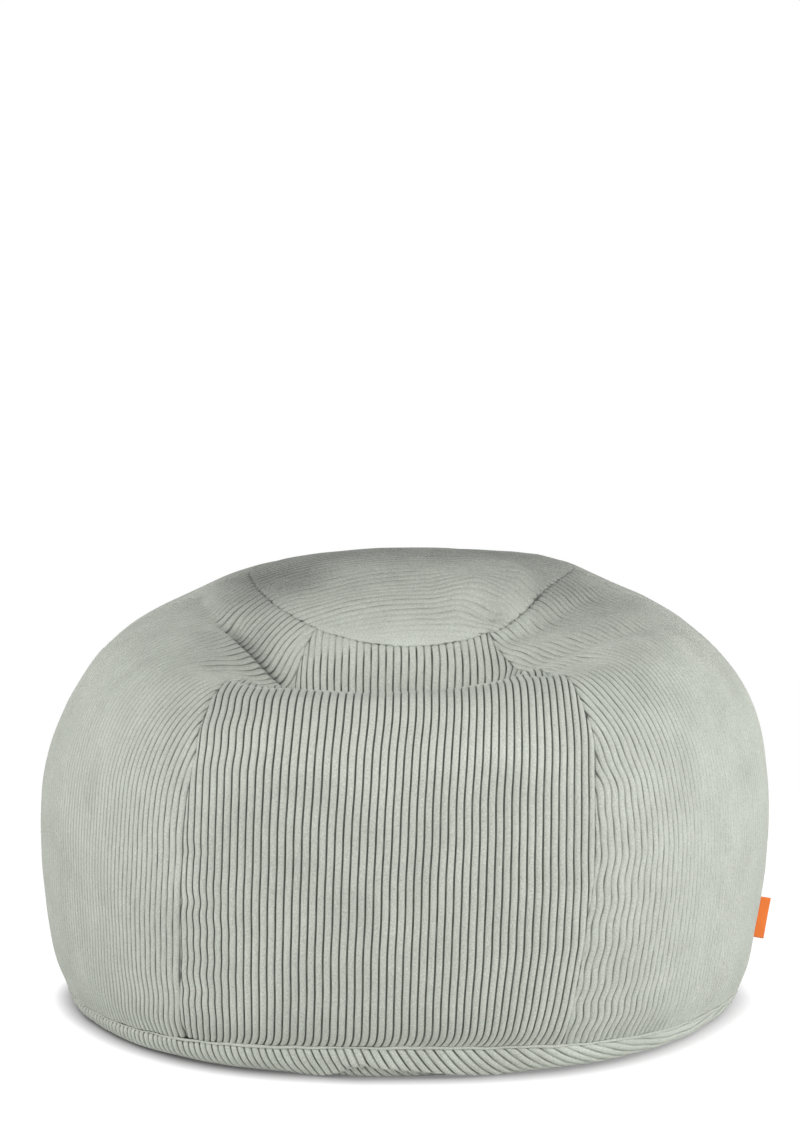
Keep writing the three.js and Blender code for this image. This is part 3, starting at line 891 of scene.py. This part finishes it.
def cord_material(fibres):
    """Soft pile with a velvet sheen, lighter on the wales, painted shade in the grooves, painted light by
    place.
    """
    material, tree, shader = new_material("jumbo_cord")
    nap_and_painted_light = add_node(tree, "Group", node_tree=fibres)
    for name, value in CORD_FIBRES.items():
        nap_and_painted_light.inputs[name].default_value = value
    pile = add_node(tree, "Attribute", attribute_name="pile").outputs["Fac"]
    place = add_node(tree, "TexCoord").outputs["Object"]
    # The pile attribute sets how much painted groove shade shows, paler in uneven places
    on_wale = add_node(tree, "MapRange", {"Value": pile, "From Min": 0.0, "From Max": 0.55},
                       interpolation_type="SMOOTHSTEP").outputs[0]
    uneven = add_node(tree, "TexNoise", {"Vector": place, "Scale": 45, "Detail": 2}).outputs[0]
    groove = add_node(tree, "Mix", {"Factor": uneven, "A": PAINTED_GROOVE_SHADE, "B": PALER_PAINTED_GROOVE_SHADE},
                      data_type="RGBA").outputs["Result"]
    # Painted light and shade by place, added to the fibres' own tone
    painted_light = add_node(tree, "Attribute", attribute_name="nap_and_painted_light").outputs["Fac"]
    shade = add_node(tree, "Math", {0: nap_and_painted_light.outputs["Shade"], 1: painted_light}, operation="ADD").outputs[0]
    wale = shaded(tree, WALE_COLOUR, shade)
    colour = add_node(tree, "Mix", {"Factor": on_wale, "A": groove, "B": wale}, data_type="RGBA")
    tree.links.new(colour.outputs["Result"], shader.inputs["Base Color"])
    bump = add_node(tree, "Bump", {"Height": nap_and_painted_light.outputs["Height"], "Strength": 0.7, "Distance": 0.001})
    tree.links.new(bump.outputs[0], shader.inputs["Normal"])
    shader.inputs["Roughness"].default_value = 0.95
    shader.inputs["Specular IOR Level"].default_value = 0.2
    shader.inputs["Sheen Weight"].default_value = CORD_SHEEN
    shader.inputs["Sheen Roughness"].default_value = 0.4
    shader.inputs["Sheen Tint"].default_value = (0.95, 1.0, 0.93, 1)
    return material


def ribbon_material(fibres):
    """Close woven ribbon: fine diagonal ribs on a plain dyed ground."""
    material, tree, shader = new_material("woven_ribbon")
    weave = add_node(tree, "Group", node_tree=fibres)
    for name, value in RIBBON_FIBRES.items():
        weave.inputs[name].default_value = value
    place = add_node(tree, "TexCoord").outputs["Object"]
    ribs = add_node(tree, "TexWave", {"Vector": place, "Scale": 520, "Distortion": 0.4},
                    bands_direction="DIAGONAL").outputs["Fac"]
    shade = add_node(tree, "MapRange", {"Value": ribs, "To Min": 0.9, "To Max": 1.04}).outputs[0]
    both = add_node(tree, "Math", {0: shade, 1: weave.outputs["Shade"]}, operation="MULTIPLY").outputs[0]
    tree.links.new(shaded(tree, RIBBON_COLOUR, both), shader.inputs["Base Color"])
    bump = add_node(tree, "Bump", {"Height": ribs, "Strength": 0.4, "Distance": 0.0002})
    tree.links.new(bump.outputs[0], shader.inputs["Normal"])
    shader.inputs["Roughness"].default_value = 0.6
    shader.inputs["Sheen Weight"].default_value = 0.15
    return material


def set_camera():
    """The photograph's camera, which looks a little down at the bag."""
    data = bpy.data.cameras.new("camera")
    data.sensor_width = 36
    data.lens = LENS_FOCUS * data.sensor_width / PHOTO_HEIGHT
    camera = bpy.data.objects.new("camera", data)
    camera.location = Vector((CAMERA_AT + BAG_OFFSET) * MM)
    camera.rotation_euler = Euler((math.radians(90 - CAMERA_PITCH), 0, math.radians(CAMERA_YAW)))
    bpy.context.scene.collection.objects.link(camera)
    bpy.context.scene.camera = camera


def set_world():
    """A white room, dimmer overhead and behind, that the camera sees as plain white."""
    world = bpy.data.worlds.new("studio")
    world.use_nodes = True
    bpy.context.scene.world = world
    tree = world.node_tree
    way = add_node(tree, "SeparateXYZ", {0: add_node(tree, "TexCoord").outputs["Generated"]})
    height = add_node(tree, "MapRange", {"Value": way.outputs["Z"], "From Min": 0.1, "From Max": 0.9,
                                         "To Min": ROOM_LIGHT, "To Max": CEILING_LIGHT}).outputs[0]
    side = add_node(tree, "MapRange", {"Value": way.outputs["X"], "From Min": -1, "From Max": 1,
                                       "To Min": LEFT_LIGHT, "To Max": RIGHT_LIGHT}).outputs[0]
    depth = add_node(tree, "MapRange", {"Value": way.outputs["Y"], "From Min": -0.3, "From Max": 0.9,
                                        "To Min": FRONT_LIGHT, "To Max": BACK_LIGHT}).outputs[0]
    light = add_node(tree, "Math", {0: height, 1: side}, operation="MULTIPLY").outputs[0]
    light = add_node(tree, "Math", {0: light, 1: depth}, operation="MULTIPLY").outputs[0]
    room = add_node(tree, "Background", {"Color": (1, 1, 1, 1), "Strength": light})
    seen = add_node(tree, "Background", {"Color": (1, 1, 1, 1), "Strength": 1.0})
    camera_ray = add_node(tree, "LightPath").outputs["Is Camera Ray"]
    both = add_node(tree, "MixShader", {0: camera_ray, 1: room.outputs[0], 2: seen.outputs[0]})
    tree.links.new(both.outputs[0], tree.nodes["World Output"].inputs["Surface"])


def set_floor():
    """A pale floor that the camera sees as plain white, with a narrow painted shadow where the bag stands.
    """
    mesh = bpy.data.meshes.new("floor")
    sides = [(-1, -1), (1, -1), (1, 1), (-1, 1)]
    mesh.from_pydata([(FLOOR_SIZE * x, FLOOR_SIZE * y, 0) for x, y in sides], [], [(0, 1, 2, 3)])
    floor = bpy.data.objects.new("floor", mesh)
    bpy.context.scene.collection.objects.link(floor)
    material, tree, shader = new_material("studio_floor")
    camera_ray = add_node(tree, "LightPath").outputs["Is Camera Ray"]
    paleness = add_node(tree, "MapRange", {"Value": camera_ray, "To Min": 0.9, "To Max": 0.0}).outputs[0]
    tree.links.new(paleness, shader.inputs["Base Color"])
    # Painted contact shadow: the glow that the camera sees is darkened by ambient occlusion near the bag,
    # more on the left
    open_air = add_node(tree, "AmbientOcclusion", {"Distance": SHADOW_REACH}, samples=16).outputs["AO"]
    side = add_node(tree, "SeparateXYZ", {0: add_node(tree, "TexCoord").outputs["Object"]}).outputs["X"]
    darkest = {"To Min": 1 - SHADOW_DEPTH["left"], "To Max": 1 - SHADOW_DEPTH["right"]}
    span = {"From Min": -SHADOW_SPAN, "From Max": SHADOW_SPAN}
    depth = add_node(tree, "MapRange", {"Value": side, **span, **darkest})
    glow = add_node(tree, "MapRange", {"Value": open_air, "From Min": 0.1, "From Max": 0.85,
                                       "To Min": depth.outputs[0], "To Max": 1.02}).outputs[0]
    seen = add_node(tree, "Math", {0: glow, 1: camera_ray}, operation="MULTIPLY").outputs[0]
    shader.inputs["Emission Color"].default_value = (1, 1, 1, 1)
    tree.links.new(seen, shader.inputs["Emission Strength"])
    mesh.materials.append(material)


def set_lights():
    """Three soft lamps, in front and at both sides, aimed at the bag."""
    for name, place, size, power in LIGHTS:
        data = bpy.data.lights.new(name, "AREA")
        data.size = size
        data.energy = power
        light = bpy.data.objects.new(name, data)
        light.location = place
        light.rotation_euler = (Vector(LIGHTS_AIM) - Vector(place)).to_track_quat("-Z", "Y").to_euler()
        bpy.context.scene.collection.objects.link(light)


bpy.context.scene.view_settings.view_transform = "Standard"
set_camera()
set_world()
set_floor()
set_lights()
fibres = fibre_group()
cord = cord_material(fibres)
for node, middle in SIDE_PANELS.items():
    side_panel(node, middle, cord)
top_panel("top_panel", cord)
base_panel("base_panel", cord)
label_piece("side_label", ribbon_material(fibres))
